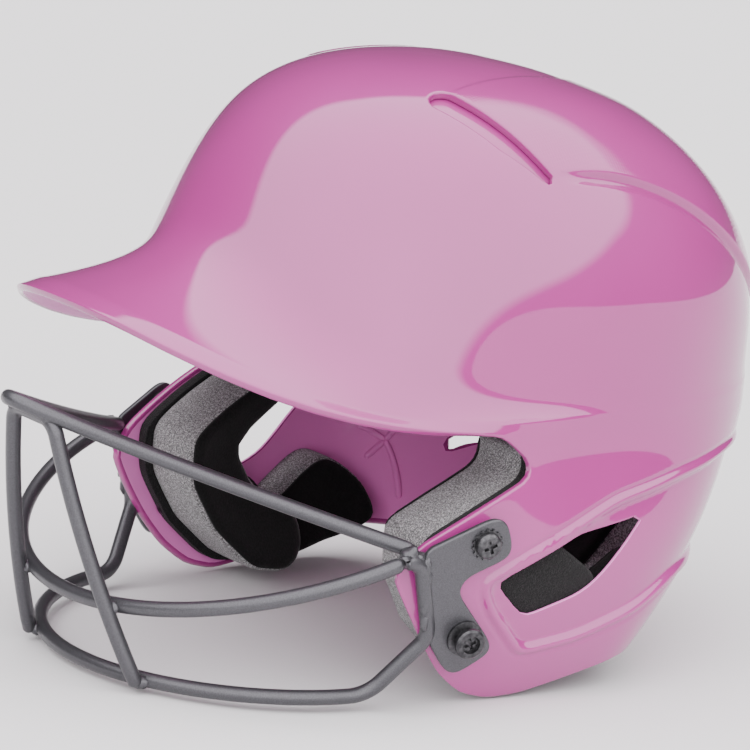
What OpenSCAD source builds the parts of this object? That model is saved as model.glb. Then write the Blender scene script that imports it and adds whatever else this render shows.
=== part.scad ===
// Youth batting helmet with a welded wire face mask.
// Millimetres, +Z up. The origin lies on the table under the dome's upright
// axis, the wearer faces -Y and the wearer's left side is +X.

/* [Dome] */
// Height of the crown above the table
crown_z = 216; // [190:1:240]
// Level where the dome is widest
dome_z = 119; // [110:1:128]
// How far the crown leans forward of the dome axis
crown_lean = 23; // [0:1:30]
// Half width of the dome
dome_w = 98.5; // [90:0.5:104]
// Reach of the dome in front of its axis
dome_front = 110; // [100:1:118]
// Reach of the dome behind its axis
dome_rear = 107.5; // [98:0.5:116]
// Wall of the moulded shell
wall = 3; // [2.6:0.1:3.4]

/* [Brim] */
// Half width of the brim's outline
brim_w = 98.6; // [94:0.2:102]
// Reach of the brim's tip in front of the dome axis
brim_reach = 176.5; // [165:0.5:188]
// Height of the rim line along the sides
rim_z = 99.3; // [96:0.1:103]
// Rise of the rim line at 100 mm of reach past its bend
brim_rise = 13.9; // [10:0.1:18]
// Width of the flat band along the brim's edge
band_w = 7.5; // [4:0.5:10]
// Slope allowance that widens the forehead above the brim
forehead = 18; // [10:1:22]

/* [Ear flaps] */
// Half width of the shell over the ears
ear_w = 105.5; // [101:0.5:108]
// Level where the ear flaps are widest
ear_z = 54; // [48:1:60]
// Half width of the flaps at the table
foot_w = 90.5; // [86:0.5:94]
// Depth of the sunk panel around each ear window
ear_sink = 1.6; // [0.8:0.1:2]
// Corner radius of the ear window
window_r = 3; // [2:0.5:5]

/* [Crown] */
// Step of the raised rear panel
panel_step = 1.4; // [0.8:0.1:2]
// Radius of the crown vent's front end
vent_front_r = 5.2; // [4:0.2:6]
// Radius of the crown vent's rear end
vent_rear_r = 2; // [1.5:0.1:3]

/* [Face mask] */
// Diameter of the mask wire
wire_d = 5.5; // [5:0.1:6]
// Reach of the top bar's nose in front of the dome axis
nose_reach = 191.7; // [186:0.1:198]
// Height of the top bar's nose
nose_z = 100.2; // [96:0.2:106]
// Thickness of the bracket plates
plate_t = 2.4; // [1.6:0.1:3]
// Gap between bracket plate and shell, filled by the rubber washers
plate_gap = 2.2; // [1.5:0.1:3]

/* [Hardware] */
// Diameter of the pan head screws
head_d = 9.4; // [8.6:0.2:10.4]
// Shank diameter of the screws and studs
shank_d = 4.8; // [4:0.1:5]
// Diameter of the strap stud's button
stud_d = 11; // [10:0.5:12]
// Height of the strap stud above the plate
stud_h = 6.4; // [5:0.2:8]

/* [Padding] */
// Thickness of the dark backing foam of the jaw pads
backing_t = 5; // [3:0.5:6]
// Thickness of the grey comfort foam of the jaw pads
jaw_foam_t = 26; // [20:1:28]
// Thickness of the grey comfort foam of the other pads
foam_t = 15; // [12:1:17]
// Thickness of the black covers
cover_t = 1.8; // [1.5:0.1:3]
// How far a pad's cut sides draw in from the shell to the face
pad_lean = 2; // [1:0.5:4]

/* [Hidden] */
$fn = 48;
// Fullness of the dome's profile in front, behind and at the sides
full_front = 2.35;
full_rear = 2.19;
full_side = 2.53;
// Squareness of the dome's, brim's and rear outlines
square_dome = 2.06;
square_brim = 2.45;
square_rear = 2.2;
// Forward distance past which the rim line rises
rise_from = 32;
// Heights over which the forehead and the brim blend into the dome
forehead_h = 85;
brim_h = 34;
// Level below which the rear wall draws in, how far, and how full its curve is
bowl_z = 96;
bowl_in = 76;
bowl_curve = 1.4;
// Share of the rows that lies above the brim blend
dome_share = 0.62;
// Clearance between touching parts
gap = 0.15;
pink = [0.86, 0.52, 0.74];
steel = [0.33, 0.34, 0.36];
bright = [0.62, 0.63, 0.65];
dark = [0.1, 0.1, 0.11];
grey = [0.55, 0.55, 0.56];

// Superellipse radius in the direction whose sine and cosine are s and c
function outline_r(s, c, w, l, p) = pow(pow(abs(s)/w, p) + pow(abs(c)/l, p), -1/p);
function clamp(t) = min(max(t, 0), 1);
function ease(t) = let (u = clamp(t)) u*u*(3 - 2*u);
function ahead(a) = [sin(a), -cos(a), 0];

// Angles run from the front towards the wearer's left
function dome_r(a) = cos(a) > 0
    ? outline_r(sin(a), cos(a), dome_w, dome_front, square_dome)
    : outline_r(sin(a), cos(a), dome_w, dome_rear, square_rear);
function edge_r(a) = cos(a) > 0
    ? outline_r(sin(a), cos(a), brim_w, brim_reach, square_brim)
    : outline_r(sin(a), cos(a), brim_w, dome_rear + 0.6, square_rear);
function rim_line(forward) = rim_z + brim_rise*pow(max(forward - rise_from, 0)/100, 2.6);
function edge_z(a) = rim_line(edge_r(a)*cos(a));
function edge_pt(a) = edge_r(a)*ahead(a) + [0, 0, edge_z(a)];
function brim_part(a) = ease((edge_r(a) - dome_r(a) - 1)/30);
function crease_pt(a) = let (g = brim_part(a))
    (edge_r(a) - band_w*g)*ahead(a) + [0, 0, edge_z(a) + 2.5*g + 5*(1 - g)];

// Point of the plain dome at the profile angle f, 0 at the crown
function dome_pt(a, f) = let (
        s = sin(a)*sin(a),
        q = (cos(a) > 0 ? full_front : full_rear)*(1 - s) + full_side*s,
        k = max(cos(f), 0),
        r = dome_r(a)*pow(1 - pow(k, q), 1/q))
    r*ahead(a) + [0, -crown_lean*k*k, dome_z + (crown_z - dome_z)*cos(f)];
function profile_angle(z) = acos(min(max((z - dome_z)/(crown_z - dome_z), -1), 1));

// Dome, forehead and brim as one surface: v is 0 at the crown, 1 at the crease
function upper_pt(a, v) = let (
        e = crease_pt(a),
        base = dome_pt(a, profile_angle(e.z)),
        d = (e - base)*ahead(a),
        cone = forehead*ease((d - 2)/22),
        rest = e - base - cone*ahead(a),
        h = 10 + (brim_h - 10)*ease(d/25),
        rho = clamp((v - dome_share)/(1 - dome_share)),
        f = profile_angle(e.z + h)*clamp(v/dome_share),
        z = v <= dome_share ? dome_pt(a, f).z : e.z + h*(1 - pow(rho, 0.3)),
        p = v <= dome_share ? dome_pt(a, f) : dome_pt(a, profile_angle(z)),
        w = pow(clamp(1 - (z - e.z)/forehead_h), 2))
    p + cone*w*ahead(a) + rest*pow(rho, 1.5);

// Side and rear wall below the rim line
function wall_w(z) = z < ear_z
    ? ear_w - (ear_w - foot_w)*pow(1 - z/ear_z, 2)
    : ear_w - (ear_w - brim_w)*ease((z - ear_z)/(rim_z - ear_z));
function wall_r(a, z) = cos(a) > 0
    ? outline_r(sin(a), cos(a), wall_w(z), brim_reach,
        2 + (square_brim - 2)*ease((z - 60)/(rim_z - 60)))
    : outline_r(sin(a), cos(a), wall_w(z), dome_rear + 0.6 - bowl_in*pow(clamp(1 - z/bowl_z), bowl_curve),
        square_rear);
function wall_pt(a, z) = wall_r(a, z)*ahead(a) + [0, 0, z];

// Whole outer surface: t is 0 at the crown, 1 at the crease, 2 at the edge, 3 at the table
function surf(a, t) = t < 1 ? upper_pt(a, t)
    : t < 2 ? crease_pt(a)*(2 - t) + edge_pt(a)*(t - 1)
    : wall_pt(a, edge_z(a)*(3 - t));
function unit(v) = v/norm(v);
function surf_n(a, t) = t < 0.001 ? [0, 0, 1] : unit(cross(
    surf(a, min(t + 0.02, 3)) - surf(a, max(t - 0.02, 0.001)), surf(a + 1, t) - surf(a - 1, t)));
function skin_pt(a, t, depth) = surf(a, t) - depth*surf_n(a, t);

// Columns and rows of the grid that the shell and all that lies against it share
columns = 72;
dome_rows = [for (j = [1:9]) dome_share*j/9];
brim_rows = [for (j = [1:6]) dome_share + (1 - dome_share)*j/6];
wall_rows = [for (j = [0:5]) 2 + j/5];

// Two triangles for a quad whose corners are listed anticlockwise seen from outside
function quad(a, b, c, d) = [[a, c, b], [a, d, c]];

// Closed sheet between two depths under the outer surface, all round the crown
module sheet(rows, d0, d1, columns = columns) {
    n = len(rows);
    m = n*columns;
    top = 2*m;
    last = columns - 1;
    outer = [for (t = rows) for (i = [0:last]) skin_pt(i*360/columns, t, d0)];
    inner = [for (t = rows) for (i = [0:last]) skin_pt(i*360/columns, t, d1)];
    function at(j, i) = j*columns + i % columns;
    polyhedron(
        points = concat(outer, inner, [surf(0, 0) - [0, 0, d0], surf(0, 0) - [0, 0, d1]]),
        faces = concat(
            [for (i = [0:last]) [top, at(0, i + 1), at(0, i)]],
            [for (i = [0:last]) [top + 1, m + at(0, i), m + at(0, i + 1)]],
            [for (j = [0:n - 2]) for (i = [0:last])
                each quad(at(j, i), at(j + 1, i), at(j + 1, i + 1), at(j, i + 1))],
            [for (j = [0:n - 2]) for (i = [0:last])
                each quad(m + at(j, i + 1), m + at(j + 1, i + 1), m + at(j + 1, i), m + at(j, i))],
            [for (i = [0:last])
                each quad(at(n - 1, i), m + at(n - 1, i), m + at(n - 1, i + 1), at(n - 1, i + 1))]),
        convexity = 8);
}

// Closed patch between two depths, over the sheet's columns i0 to i1 and the given rows
module patch(i0, i1, rows, d0, d1) {
    w = i1 - i0 + 1;
    nt = len(rows) - 1;
    m = w*(nt + 1);
    outer = [for (t = rows) for (i = [i0:i1]) skin_pt(i*360/columns, t, d0)];
    inner = [for (t = rows) for (i = [i0:i1]) skin_pt(i*360/columns, t, d1)];
    function at(j, i) = j*w + i;
    polyhedron(points = concat(outer, inner), faces = concat(
        [for (j = [0:nt - 1]) for (i = [0:w - 2])
            each quad(at(j, i), at(j + 1, i), at(j + 1, i + 1), at(j, i + 1))],
        [for (j = [0:nt - 1]) for (i = [0:w - 2])
            each quad(m + at(j, i + 1), m + at(j + 1, i + 1), m + at(j + 1, i), m + at(j, i))],
        [for (i = [0:w - 2]) each quad(at(0, i), at(0, i + 1), m + at(0, i + 1), m + at(0, i))],
        [for (i = [0:w - 2]) each quad(at(nt, i + 1), at(nt, i), m + at(nt, i), m + at(nt, i + 1))],
        [for (j = [0:nt - 1]) each quad(at(j + 1, 0), at(j, 0), m + at(j, 0), m + at(j + 1, 0))],
        [for (j = [0:nt - 1])
            each quad(at(j, w - 1), at(j + 1, w - 1), m + at(j + 1, w - 1), m + at(j, w - 1))]),
        convexity = 6);
}

// Side view outline (forward is negative y) pushed through in x
module across(x0 = -150, x1 = 150) {
    translate([x0, 0, 0]) rotate([90, 0, 90]) linear_extrude(x1 - x0) children();
}
module both_sides() {
    children();
    mirror([1, 0, 0]) children();
}

// Side view of the ear window, its sunk panel and all that is cut off below the rim
module window_outline() {
    corners = [[-50.9, 46.4], [-38.5, 33.5], [-16, 41], [-8.5, 47], [7.5, 65.5], [-18.8, 61.8], [-36, 55.5]];
    offset(r = window_r, $fn = 12) offset(delta = -window_r) polygon(corners);
}
module ear_panel_outline() {
    offset(r = 4, $fn = 12) offset(delta = -4)
        polygon([[-59, 48], [-45, 55.5], [-15, 69.5], [-3, 74.5], [29, 80.5], [60, 84], [130, 84],
            [130, 46], [60, 46], [30, 44], [10, 34.5], [-14, 26], [-37, 22], [-54, 38]]);
}
module cut_away_outline() {
    brim_line = [for (f = [190:-14:64]) [-f, rim_line(f)]];
    offset(r = -2.5, $fn = 16) offset(delta = 2.5) offset(r = 5, $fn = 20) offset(delta = -5)
    polygon(concat(brim_line,
        [[-52, 98.5], [-41, 90], [-40.5, 84], [-59, 74.5], [-74, 66], [-83, 60.5], [-90.5, 50],
            [-84, 38], [-75.5, 24], [-66.5, 12.4], [-55.5, 3.8], [-43, 0.3], [-30, 1.2],
            [-7, 7.5], [8, 11.5], [20, 12.5], [35, 14], [50, 18], [75, 26], [140, 26],
            [140, -40], [-200, -40], [-200, rim_line(190)]]));
}

// The crown vent, a slot that narrows to the rear
module crown_vent() {
    hull() {
        vent_end([44, -49.5, 206], vent_front_r);
        vent_end([66, -38.5, 195], vent_front_r*0.85);
    }
    hull() {
        vent_end([66, -38.5, 195], vent_front_r*0.85);
        vent_end([79.5, -28.5, 185], vent_rear_r);
    }
}
module vent_end(p, r) {
    translate(p) rotate([0, 42, -12]) cylinder(h = 34, r = r, center = true, $fn = 16);
}

// The rear panel, bounded in plan by the vents and a tongue from the front,
// and in side view by a falling curve
function panel_line(y) = 187 - 0.0044*pow(y + 21, 2);
module panel_side(drop = 0) {
    across() polygon(concat([for (y = [-21:16:110]) [y, panel_line(y) - drop]],
        [[130, panel_line(110) - drop], [130, 230], [-60, 230], [-60, 187 - drop]]));
}
module panel_plan() {
    translate([0, 0, 60]) linear_extrude(200) difference() {
        polygon([[-47, -46], [-81, -26], [-120, -20], [-120, 130], [120, 130], [120, -20], [81, -26],
            [47, -46]]);
        hull() {
            translate([0, -50]) square([86, 1], center = true);
            translate([0, 8]) scale([31, 26]) circle(1, $fn = 24);
        }
    }
}
module groove_side() {
    across() polygon(concat([for (y = [-16:14:110]) [y, panel_line(y) - 0.4]],
        [for (y = [110:-14:-16]) [y, panel_line(y) - 3.6]]));
}

// The moulded shell with its brim, flaps, windows, vents and raised rear panel
module shell() {
    upper_rows = concat(dome_rows, brim_rows);
    color(pink) difference() {
        union() {
            sheet(concat(upper_rows, wall_rows), 0, wall);
            intersection() {
                patch(15, 57, upper_rows, -panel_step, 1);
                panel_side();
                panel_plan();
            }
        }
        intersection() {
            patch(19, 53, upper_rows, -3, 1.1);
            groove_side();
        }
        across() cut_away_outline();
        across() window_outline();
        intersection() {
            patch(9, 63, wall_rows, -3, ear_sink);
            across() ear_panel_outline();
        }
        both_sides() crown_vent();
        both_sides() on_plate() {
            at_screw() cylinder(h = 30, d = 7.2, center = true, $fn = 20);
            at_stud() cylinder(h = 30, d = 7.2, center = true, $fn = 20);
        }
        rear_vents();
    }
}
// A slanted vent on each side of the nape, widening towards the middle
module rear_vents() {
    both_sides() {
        hull() {
            rear_vent_end([61, 45], 1.5);
            rear_vent_end([50, 51], 3.4);
        }
        hull() {
            rear_vent_end([50, 51], 3.4);
            rear_vent_end([40, 58], 4.6);
        }
    }
}
module rear_vent_end(p, r) {
    translate([p.x, 40, p.y]) rotate([-90, 0, -30]) cylinder(h = 80, r = r, $fn = 16);
}

// Wire along points, each corner rounded with its own bend radius or left as it is at 0
wire_sides = 10;
function turn_angle(p, i) = acos(min(max(unit(p[i] - p[i - 1])*unit(p[i + 1] - p[i]), -1), 1));
function bend_points(p, i, r) = let (
        u = unit(p[i] - p[i - 1]),
        w = unit(p[i + 1] - p[i]),
        a = turn_angle(p, i),
        side = unit(w - u*(u*w)),
        start = p[i] - u*r*tan(a/2),
        n = max(2, ceil(a/16)))
    [for (k = [0:n]) start + u*r*sin(a*k/n) + side*r*(1 - cos(a*k/n))];
function wire_path(p, radii) = concat([p[0]],
    [for (i = [1:len(p) - 2]) each radii[i] > 0 ? bend_points(p, i, radii[i]) : [p[i]]],
    [p[len(p) - 1]]);
function tangent(q, k) = unit(q[min(k + 1, len(q) - 1)] - q[max(k - 1, 0)]);
function carried(q, k, v) = k == len(q) ? [] : let (
        t = tangent(q, k),
        n = unit(v - t*(v*t)))
    concat([n], carried(q, k + 1, n));
module bent_wire(p, radii, first_side) {
    q = wire_path(p, radii);
    n = len(q);
    m = wire_sides;
    normals = carried(q, 0, first_side);
    ring = [for (k = [0:n - 1]) for (i = [0:m - 1]) let (b = cross(tangent(q, k), normals[k]))
        q[k] + (normals[k]*cos(i*360/m) + b*sin(i*360/m))*wire_d/2];
    polyhedron(points = ring, faces = concat(
        [[for (i = [m - 1:-1:0]) i]],
        [[for (i = [0:m - 1]) (n - 1)*m + i]],
        [for (k = [0:n - 2]) for (i = [0:m - 1]) let (j = (i + 1) % m)
            each [[k*m + i, k*m + j, k*m + m + j], [k*m + i, k*m + m + j, k*m + m + i]]]),
        convexity = 6);
}
function flip(p) = [-p.x, p.y, p.z];
function mirrored(p) = concat(p, [for (i = [len(p) - 1:-1:0]) flip(p[i])]);
function doubled(r) = concat(r, [for (i = [len(r) - 1:-1:0]) r[i]]);

// Corner where the middle bar turns down into the side of the mask, and the bends below it
mask_corner = [97.5, -84.5, 58.4];
side_bend_at = [94.5, -76, 29];
low_bend_at = [82.2, -91.6, 6];
// Point of a bar that sweeps across the face: t is 90 at the sides and 0 in the middle
function sweep_pt(t, half, back, reach, high, drop, p, q) =
    [half*sin(t), -back - reach*pow(cos(t), p), high - drop*pow(cos(t), q)];
function middle_pt(t) = sweep_pt(t, half = 97.5, back = 84.5, reach = 80.8, high = 59.5, drop = 29.9,
    p = 1.09, q = 1.17);
function lower_pt(t) = sweep_pt(t, half = 81, back = 93, reach = 66.2, high = 5.9, drop = 1.3,
    p = 1.19, q = 1.45);
// The top bar spreads from a round nose; s is 1 at its end
top_end = 94;
nose_round = 12.2;
nose_power = 0.7635;
function top_pt(s) = let (
        x = top_end*pow(s, 1.5),
        back = 4.18*(pow(x*x + nose_round*nose_round, nose_power/2) - pow(nose_round, nose_power)))
    [x, back - nose_reach, nose_z - 0.4167*back + 0.0004*back*back];
// The centre post leans forward as it rises; s is 1 at its top
post_top = 94.6;
function post_pt(s) = [35.5 - 22.7*s, -155.9 - 38.3*s + 11.7*s*s, wire_d/2 + (post_top - wire_d/2)*s];

module mask_top_bar() {
    half = [for (s = [1:-0.1:0.05]) top_pt(s)];
    path = concat(half, [top_pt(0)], [for (i = [len(half) - 1:-1:0]) flip(half[i])]);
    color(steel) bent_wire(path, [for (q = path) 0], [0, 0, 1]);
}
module mask_middle_bar() {
    path = mirrored([for (t = [84:-8:4]) middle_pt(t)]);
    color(steel) bent_wire(path, [for (q = path) 0], [0, 0, 1]);
}
module mask_lower_bar() {
    front = [for (t = [80:-10:10]) lower_pt(t)];
    path = mirrored(concat([middle_pt(84), mask_corner, side_bend_at, low_bend_at], front));
    color(steel) bent_wire(path, doubled(concat([0, 7, 9, 14], [for (q = front) 0])), [1, 0, 0]);
}
module mask_centre_post() {
    path = mirrored([for (s = [0:0.125:1]) post_pt(s)]);
    color(steel) bent_wire(path, [for (q = path) q.z == post_top ? 7 : 0], [0, 1, 0]);
}

// Frame of the left bracket plate: +Z points away from the shell
plate_origin = [97.2, -60, 44.4];
plate_tilt = [0, 7.87, -12.35];
screw_at = [0, 19.7, 0];
stud_at = [-3.4, -15.5, 0];
module on_plate() {
    translate(plate_origin) rotate(plate_tilt) rotate([90, 0, 90]) children();
}
module at_screw() { translate(screw_at) children(); }
module at_stud() { translate(stud_at) children(); }
module plate_outline() {
    offset(r = -3) offset(delta = 3) offset(r = 3.5) offset(delta = -3.5)
        polygon([[-23.3, 17.5], [1.5, 29], [7, 27.5], [10.4, 18], [8.8, 13.6], [-5.6, 7], [-8, 1.5],
            [7.4, -18], [7.2, -22.5], [-4, -29.6], [-9, -28], [-17, -16], [-20, 2]]);
}
module bracket() {
    color(steel) on_plate() difference() {
        translate([0, 0, plate_gap]) linear_extrude(plate_t) plate_outline();
        at_screw() translate([0, 0, -5]) cylinder(h = 20, d = shank_d + 0.6);
        at_stud() translate([0, 0, -5]) cylinder(h = 20, d = shank_d + 0.6);
    }
}
module bracket_left() { bracket(); }
module bracket_right() { mirror([1, 0, 0]) bracket(); }

// Pan head screw with a cross recess, seated on its tooth washer
washer_t = 0.8;
module cross_recess(z, depth, reach) {
    for (a = [22, 112]) rotate([0, 0, a]) translate([-reach/2, -0.6, z - depth])
        cube([reach, 1.2, depth + 1]);
}
module screw() {
    seat = plate_gap + plate_t + washer_t;
    color(bright) on_plate() at_screw() difference() {
        union() {
            translate([0, 0, seat]) rotate_extrude() polygon(concat([[0, 0], [head_d/2, 0]],
                [for (k = [0:15:90]) [head_d/2*cos(k)*0.35 + head_d/2*0.65 - (k > 75 ? head_d/2*0.65 : 0),
                    0.9 + 1.7*sin(k)]]));
            translate([0, 0, -wall - 2.5]) cylinder(h = seat + wall + 2.5, d = shank_d);
        }
        cross_recess(seat + 2.6, 1.3, 5);
    }
}
module screw_left() { screw(); }
module screw_right() { mirror([1, 0, 0]) screw(); }
module tooth_washer() {
    color(bright) on_plate() at_screw() translate([0, 0, plate_gap + plate_t]) difference() {
        union() {
            cylinder(h = washer_t - 0.05, d = head_d + 1);
            for (a = [0:24:336]) rotate([0, 0, a]) translate([head_d/2, -0.5, 0])
                cube([1.1, 1, washer_t - 0.05]);
        }
        translate([0, 0, -1]) cylinder(h = 4, d = shank_d + 0.3);
    }
}
module tooth_washer_left() { tooth_washer(); }
module tooth_washer_right() { mirror([1, 0, 0]) tooth_washer(); }

// Chin strap stud: flange, neck and button with a cross recess
module strap_stud() {
    seat = plate_gap + plate_t;
    color(steel) on_plate() at_stud() difference() {
        union() {
            translate([0, 0, seat]) rotate_extrude() polygon([[0, 0], [stud_d/2 + 1, 0], [stud_d/2 + 1, 1.1],
                [stud_d/2 - 1.6, 1.6], [stud_d/2 - 1.6, stud_h - 2.6], [stud_d/2, stud_h - 1.8],
                [stud_d/2, stud_h - 0.6], [stud_d/2 - 0.7, stud_h], [stud_d/2 - 2.2, stud_h],
                [stud_d/2 - 2.2, stud_h - 1.2], [0, stud_h - 0.7]]);
            translate([0, 0, -wall - 2.5]) cylinder(h = seat + wall + 2.5, d = shank_d);
        }
        cross_recess(seat + stud_h - 0.7, 1.2, 4.4);
    }
}
module strap_stud_left() { strap_stud(); }
module strap_stud_right() { mirror([1, 0, 0]) strap_stud(); }

// Rubber washers that stand the plate off the curved shell
module rubber_washers() {
    color(dark) on_plate() {
        at_screw() washer_ring();
        at_stud() washer_ring();
    }
}
module washer_ring() {
    difference() {
        translate([0, 0, 0.2]) cylinder(h = plate_gap - 0.25, d = 11);
        translate([0, 0, -1]) cylinder(h = 6, d = shank_d + 0.3);
    }
}
module rubber_washers_left() { rubber_washers(); }
module rubber_washers_right() { mirror([1, 0, 0]) rubber_washers(); }

// Tee nuts whose barrels pass through the shell
module tee_nuts() {
    color(bright) on_plate() {
        at_screw() tee_nut();
        at_stud() tee_nut();
    }
}
module tee_nut() {
    difference() {
        union() {
            translate([0, 0, -wall - 1.9]) cylinder(h = 1.2, d = 14);
            translate([0, 0, -wall - 1.9]) cylinder(h = wall + 1.7, d = 6.8);
        }
        translate([0, 0, -20]) cylinder(h = 40, d = shank_d + 0.1);
    }
}
module tee_nuts_left() { tee_nuts(); }
module tee_nuts_right() { mirror([1, 0, 0]) tee_nuts(); }

// Foam pads, cut from sheet along a side view outline and bedded on the inner wall.
// A centre line in side view, [y, z], is widened into a band with round ends
module band(line, r) {
    n = len(line);
    offset(r = r, $fn = 36) polygon(concat(line, [for (i = [n - 1:-1:0]) line[i] + [0.4, -0.3]]));
}
jaw_line = [[-40, 80], [-52, 71], [-61, 60], [-60, 47], [-52, 33], [-40, 21.5], [-32, 20]];
jaw_r = 12.6;
side_bend = 15;
side_centre = [0, 14.5];
side_r = 12;
// The left side pad sits further back and higher than the right one
side_shift = [8, 9];
// Pockets round the tee nuts in what lies behind them
module nut_pockets() {
    on_plate() {
        at_screw() translate([0, 0, -wall - 3]) cylinder(h = 8, d = 15.4);
        at_stud() translate([0, 0, -wall - 3]) cylinder(h = 8, d = 15.4);
    }
}
module jaw_layer(d0, d1, r) {
    intersection() {
        patch(7, 21, wall_rows, d0, d1);
        across(30, 130) {
            band(jaw_line, r);
            children();
        }
    }
}
backing_in = wall + 0.3;
jaw_foam_in = backing_in + backing_t + gap;
jaw_cover_in = jaw_foam_in + jaw_foam_t + gap;
module jaw_backing() {
    color(dark) difference() {
        jaw_layer(backing_in, backing_in + backing_t, jaw_r + pad_lean) children();
        nut_pockets();
    }
}
module jaw_foam() { color(grey) jaw_layer(jaw_foam_in, jaw_foam_in + jaw_foam_t, jaw_r + pad_lean/2); }
module jaw_cover() { color(dark) jaw_layer(jaw_cover_in, jaw_cover_in + cover_t, jaw_r); }
// The left backing reaches further under the ear window
module jaw_backing_left() {
    jaw_backing() offset(r = 4) polygon([[-50, 66], [-32, 58], [-12, 43.5], [-20, 30], [-50, 30]]);
}
module jaw_backing_right() { mirror([1, 0, 0]) jaw_backing(); }
module jaw_foam_left() { jaw_foam(); }
module jaw_foam_right() { mirror([1, 0, 0]) jaw_foam(); }
module jaw_cover_left() { jaw_cover(); }
module jaw_cover_right() { mirror([1, 0, 0]) jaw_cover(); }

pad_in = wall + 0.3;
pad_cover_in = pad_in + foam_t + gap;
module side_layer(d0, d1, r, shift) {
    intersection() {
        patch(13, 27, wall_rows, d0, d1);
        across(62, 130) translate(side_centre + shift) for (k = [-56:14:42]) hull()
            for (b = [k, k + 14]) translate(side_bend*[sin(b), cos(b)]) circle(r, $fn = 32);
    }
}
module side_foam(shift) { color(grey) side_layer(pad_in, pad_in + foam_t, side_r + 0.8, shift); }
module side_cover(shift) { color(dark) side_layer(pad_cover_in, pad_cover_in + cover_t, side_r, shift); }
module side_foam_left() { side_foam(side_shift); }
module side_foam_right() { mirror([1, 0, 0]) side_foam([0, 0]); }
module side_cover_left() { side_cover(side_shift); }
module side_cover_right() { mirror([1, 0, 0]) side_cover([0, 0]); }

module nape_layer(d0, d1) {
    intersection() {
        patch(27, 45, wall_rows, d0, d1);
        translate([0, 120, 48]) rotate([90, 0, 0]) linear_extrude(90)
            offset(r = 12, $fn = 24) square([66, 28], center = true);
    }
}
module nape_foam() { color(grey) nape_layer(pad_in, pad_in + foam_t); }
module nape_cover() { color(dark) nape_layer(pad_cover_in, pad_cover_in + cover_t); }

forehead_rows = [dome_rows[6], dome_rows[7], dome_rows[8], brim_rows[0], brim_rows[1], brim_rows[2]];
module forehead_layer(d0, d1) { patch(-8, 8, forehead_rows, d0, d1); }
module forehead_foam() { color(grey) forehead_layer(pad_in, pad_in + foam_t); }
module forehead_cover() { color(dark) forehead_layer(pad_cover_in, pad_cover_in + cover_t); }
crown_rows = [for (j = [0:3]) dome_rows[j]];
module crown_foam() { color(grey) sheet(crown_rows, pad_in + 0.6, pad_in + foam_t, columns/3); }
module crown_cover() { color(dark) sheet(crown_rows, pad_cover_in, pad_cover_in + cover_t, columns/3); }

shell();
mask_top_bar();
mask_middle_bar();
mask_lower_bar();
mask_centre_post();
bracket_left();
bracket_right();
screw_left();
screw_right();
tooth_washer_left();
tooth_washer_right();
strap_stud_left();
strap_stud_right();
rubber_washers_left();
rubber_washers_right();
tee_nuts_left();
tee_nuts_right();
jaw_backing_left();
jaw_backing_right();
jaw_foam_left();
jaw_foam_right();
jaw_cover_left();
jaw_cover_right();
side_foam_left();
side_foam_right();
side_cover_left();
side_cover_right();
nape_foam();
nape_cover();
forehead_foam();
forehead_cover();
crown_foam();
crown_cover();
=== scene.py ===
import math

import bmesh
import bpy
import numpy as np
from mathutils import Matrix, Vector, noise


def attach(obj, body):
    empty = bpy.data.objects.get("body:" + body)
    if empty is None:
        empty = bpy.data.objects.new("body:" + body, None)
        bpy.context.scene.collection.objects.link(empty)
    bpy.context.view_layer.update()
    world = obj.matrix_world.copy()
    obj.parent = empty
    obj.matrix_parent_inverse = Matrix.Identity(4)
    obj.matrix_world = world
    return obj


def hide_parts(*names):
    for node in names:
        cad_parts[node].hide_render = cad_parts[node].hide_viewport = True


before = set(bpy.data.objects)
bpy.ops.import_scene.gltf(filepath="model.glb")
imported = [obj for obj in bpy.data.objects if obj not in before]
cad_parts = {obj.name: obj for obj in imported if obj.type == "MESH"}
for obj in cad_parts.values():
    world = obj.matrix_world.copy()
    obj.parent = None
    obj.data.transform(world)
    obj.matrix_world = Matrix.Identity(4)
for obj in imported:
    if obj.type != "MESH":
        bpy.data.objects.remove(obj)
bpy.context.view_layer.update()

# Youth batting helmet with a welded wire face mask. The part's own numbers are in
# millimetres, as in its CAD source, and MM turns them into Blender's metres.
MM = 0.001

# ---------------- camera
# A long lens a metre and a half away looks down on the wearer's left front
TURN = math.radians(54)
DOWN = math.radians(16)
PITCH = math.radians(-5.5)
DISTANCE = 1500
AIM_RIGHT = 12.3
AIM_UP = 95.2
LENS = 194.4
SENSOR = 36
PIVOT = Vector((0, -42.5, 0))


def place_camera():
    """Turns about PIVOT, pitched by PITCH, and keeps the photograph's frame."""
    right = Vector((math.cos(TURN), math.sin(TURN), 0))
    up = Vector((-math.sin(TURN) * math.sin(DOWN), math.cos(TURN) * math.sin(DOWN), math.cos(DOWN)))
    ahead_of = Vector((-math.sin(TURN) * math.cos(DOWN), math.cos(TURN) * math.cos(DOWN), -math.sin(DOWN)))
    level = Matrix.Rotation(-PITCH, 3, "X")
    spot = PIVOT + level @ (right * AIM_RIGHT + up * AIM_UP - ahead_of * DISTANCE)
    axes = Matrix((level @ right, level @ up, level @ -ahead_of)).transposed()
    data = bpy.data.cameras.new("camera")
    data.lens = LENS
    data.sensor_width = SENSOR
    data.clip_end = 20
    camera = bpy.data.objects.new("camera", data)
    bpy.context.scene.collection.objects.link(camera)
    camera.matrix_world = Matrix.Translation(spot * MM) @ axes.to_4x4()
    bpy.context.scene.camera = camera


place_camera()


# ---------------- materials
def colour(code):
    """An sRGB hex value as linear red, green, blue and alpha."""
    parts = [int(code[i:i + 2], 16) / 255 for i in (1, 3, 5)]
    return [c / 12.92 if c <= 0.04045 else ((c + 0.055) / 1.055) ** 2.4 for c in parts] + [1]


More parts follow.
